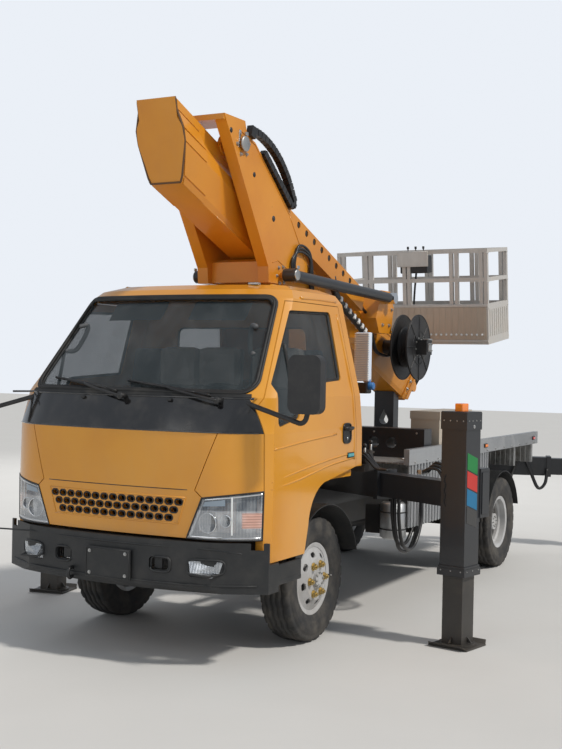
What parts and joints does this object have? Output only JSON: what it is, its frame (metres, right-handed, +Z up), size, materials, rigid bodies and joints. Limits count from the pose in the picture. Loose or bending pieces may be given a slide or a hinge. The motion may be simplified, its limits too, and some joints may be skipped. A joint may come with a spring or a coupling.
{
  "type": "truck-mounted telescopic boom lift (cherry picker)",
  "caption": "Light cab-over truck with a slewing telescopic boom stowed over the cab, a work basket at its rear tip, slide-out stabiliser legs and a flat chequer-plate deck.",
  "frame": {"origin": "ground level under the middle of the overall box", "axes": "+X to the truck's left side, +Y to its rear, +Z up"},
  "size_m": [3.39, 6.229, 3.29],
  "materials": {
    "paint_yellow": "gloss",
    "frame_dark": "satin",
    "rim_silver": "satin",
    "tyre": "matt",
    "steel": "brushed",
    "chrome": "polished",
    "aluminium": "satin",
    "basket_aluminium": "satin",
    "box_beige": "satin",
    "black_plastic": "matt",
    "gloss_black": "gloss",
    "lamp_clear": "clear gloss",
    "glass": "clear",
    "cast": "rough",
    "seat_cloth": "woven",
    "grey_plastic": "matt"
  },
  "bodies": {
    "truck": {"boom_rest": "frame_dark", "bumper": "black_plastic", "cab_shell": "paint_yellow", "chassis_frame": "frame_dark", "cowl_band": "gloss_black", "cross_box": "frame_dark", "dashboard": "grey_plastic", "deck": "aluminium", "engine_block": "cast", "fog_lamps": "lamp_clear", "front_axle": "cast", "front_panel": "paint_yellow", "fuel_tank": "grey_plastic", "headlamps": "lamp_clear", "mirrors": "black_plastic", "mudguards": "black_plastic", "outrigger_subframe": "frame_dark", "propeller_shaft": "steel", "rear_axle": "cast", "rear_window": "glass", "seats": "seat_cloth", "side_guards": "aluminium", "slew_pedestal": "frame_dark", "steering_wheel": "black_plastic", "toolbox": "box_beige", "windscreen": "glass"},
    "left_door": {"door_left": "paint_yellow", "door_glass_left": "glass"},
    "right_door": {"door_right": "paint_yellow", "door_glass_right": "glass"},
    "left_knuckle": {"steering_knuckle_left": "cast"},
    "right_knuckle": {"steering_knuckle_right": "cast"},
    "front_left_wheel": {"front_left_rim": "rim_silver", "front_left_tyre": "tyre"},
    "front_right_wheel": {"front_right_rim": "rim_silver", "front_right_tyre": "tyre"},
    "rear_left_wheels": {"rear_left_twin_rims": "rim_silver", "rear_left_twin_tyres": "tyre"},
    "rear_right_wheels": {"rear_right_twin_rims": "rim_silver", "rear_right_twin_tyres": "tyre"},
    "front_left_beam": {"front_left_outrigger_beam": "frame_dark"},
    "front_left_leg_body": {"front_left_leg": "frame_dark"},
    "front_right_beam": {"front_right_outrigger_beam": "frame_dark"},
    "front_right_leg_body": {"front_right_leg": "frame_dark"},
    "rear_left_beam": {"rear_left_outrigger_beam": "frame_dark"},
    "rear_left_leg_body": {"rear_left_leg": "frame_dark"},
    "rear_right_beam": {"rear_right_outrigger_beam": "frame_dark"},
    "rear_right_leg_body": {"rear_right_leg": "frame_dark"},
    "slewing_turret": {"turret": "paint_yellow", "portal_chain": "black_plastic"},
    "boom": {"base_boom": "paint_yellow", "energy_chain": "black_plastic", "cable_reel": "black_plastic"},
    "section_2": {"boom_section_2": "paint_yellow"},
    "section_3": {"boom_section_3": "paint_yellow"},
    "section_4": {"boom_section_4": "paint_yellow"},
    "tip_head": {"levelling_head": "frame_dark"},
    "work_basket": {"basket": "basket_aluminium"},
    "luff_barrels": {"luff_cylinder_barrels": "frame_dark"},
    "luff_rods": {"luff_cylinder_rods": "chrome"}
  },
  "joints": [
    {"name": "steer_left", "type": "hinge", "parent": "truck", "child": "left_knuckle", "pos_m": [0.575, -2.02951, 0.3875], "axis": [0, 0, 1], "range_deg": [-35, 35]},
    {"name": "steer_right", "type": "hinge", "parent": "truck", "child": "right_knuckle", "pos_m": [-0.575, -2.02951, 0.3875], "axis": [0, 0, 1], "range_deg": [-35, 35]},
    {"name": "front_left_roll", "type": "hinge", "parent": "left_knuckle", "child": "front_left_wheel", "pos_m": [0.6925, -2.02951, 0.3875], "axis": [1, 0, 0], "continuous": true},
    {"name": "front_right_roll", "type": "hinge", "parent": "right_knuckle", "child": "front_right_wheel", "pos_m": [-0.6925, -2.02951, 0.3875], "axis": [1, 0, 0], "continuous": true},
    {"name": "rear_left_roll", "type": "hinge", "parent": "truck", "child": "rear_left_wheels", "pos_m": [0.7125, 1.33049, 0.3875], "axis": [1, 0, 0], "continuous": true},
    {"name": "rear_right_roll", "type": "hinge", "parent": "truck", "child": "rear_right_wheels", "pos_m": [-0.7125, 1.33049, 0.3875], "axis": [1, 0, 0], "continuous": true},
    {"name": "door_left_swing", "type": "hinge", "parent": "truck", "child": "left_door", "pos_m": [0.899, -2.86451, 1.3], "axis": [0, 0, -1], "range_deg": [0, 70]},
    {"name": "door_right_swing", "type": "hinge", "parent": "truck", "child": "right_door", "pos_m": [-0.899, -2.86451, 1.3], "axis": [0, 0, 1], "range_deg": [0, 70]},
    {"name": "front_left_reach", "type": "slide", "parent": "truck", "child": "front_left_beam", "axis": [0.891, -0.454, 0], "range_m": [-0.43, 0.22]},
    {"name": "front_right_reach", "type": "slide", "parent": "truck", "child": "front_right_beam", "axis": [-0.891, -0.454, 0], "range_m": [-0.43, 0.22]},
    {"name": "rear_left_reach", "type": "slide", "parent": "truck", "child": "rear_left_beam", "axis": [0.9397, 0.342, 0], "range_m": [-0.43, 0.22]},
    {"name": "rear_right_reach", "type": "slide", "parent": "truck", "child": "rear_right_beam", "axis": [-0.9397, 0.342, 0], "range_m": [-0.43, 0.22]},
    {"name": "front_left_leg_lift", "type": "slide", "parent": "front_left_beam", "child": "front_left_leg_body", "axis": [0, 0, 1], "range_m": [0, 0.35]},
    {"name": "front_right_leg_lift", "type": "slide", "parent": "front_right_beam", "child": "front_right_leg_body", "axis": [0, 0, 1], "range_m": [0, 0.35]},
    {"name": "rear_left_leg_lift", "type": "slide", "parent": "rear_left_beam", "child": "rear_left_leg_body", "axis": [0, 0, 1], "range_m": [0, 0.35]},
    {"name": "rear_right_leg_lift", "type": "slide", "parent": "rear_right_beam", "child": "rear_right_leg_body", "axis": [0, 0, 1], "range_m": [0, 0.35]},
    {"name": "slew", "type": "hinge", "parent": "truck", "child": "slewing_turret", "pos_m": [0, -0.97951, 1.3], "axis": [0, 0, 1], "range_deg": [-100, 100]},
    {"name": "luff", "type": "hinge", "parent": "slewing_turret", "child": "boom", "pos_m": [0, -2.14951, 3.1], "axis": [1, 0, 0], "range_deg": [0, 95]},
    {"name": "extend", "type": "slide", "parent": "boom", "child": "section_2", "axis": [0, 0.9367, -0.3502], "range_m": [0, 3]},
    {"name": "extend_3", "type": "slide", "parent": "section_2", "child": "section_3", "axis": [0, 0.9367, -0.3502], "range_m": [0, 3]},
    {"name": "extend_4", "type": "slide", "parent": "section_3", "child": "section_4", "axis": [0, 0.9367, -0.3502], "range_m": [0, 3]},
    {"name": "basket_level", "type": "hinge", "parent": "section_4", "child": "tip_head", "pos_m": [0, 1.34259, 1.54651], "axis": [1, 0, 0], "range_deg": [-95, 0]},
    {"name": "basket_turn", "type": "hinge", "parent": "tip_head", "child": "work_basket", "pos_m": [0, 1.40249, 1.925], "axis": [0, -0.1219, 0.9925], "range_deg": [-45, 45]},
    {"name": "luff_barrel_swing", "type": "hinge", "parent": "slewing_turret", "child": "luff_barrels", "pos_m": [0, -1.60951, 2.315], "axis": [1, 0, 0], "range_deg": [0, 95]},
    {"name": "luff_rod_out", "type": "slide", "parent": "luff_barrels", "child": "luff_rods", "axis": [0, 0.9996, -0.0289], "range_m": [0, 1.45]}
  ],
  "couplings": [
    {"joint": "steer_right", "follows": "steer_left", "ratio": 1},
    {"joint": "extend_3", "follows": "extend", "ratio": 1},
    {"joint": "extend_4", "follows": "extend", "ratio": 1},
    {"joint": "basket_level", "follows": "luff", "ratio": -1},
    {"joint": "luff_barrel_swing", "follows": "luff", "ratio": 0.94663},
    {"joint": "luff_rod_out", "follows": "luff", "m_per_rad": 0.83822}
  ]
}
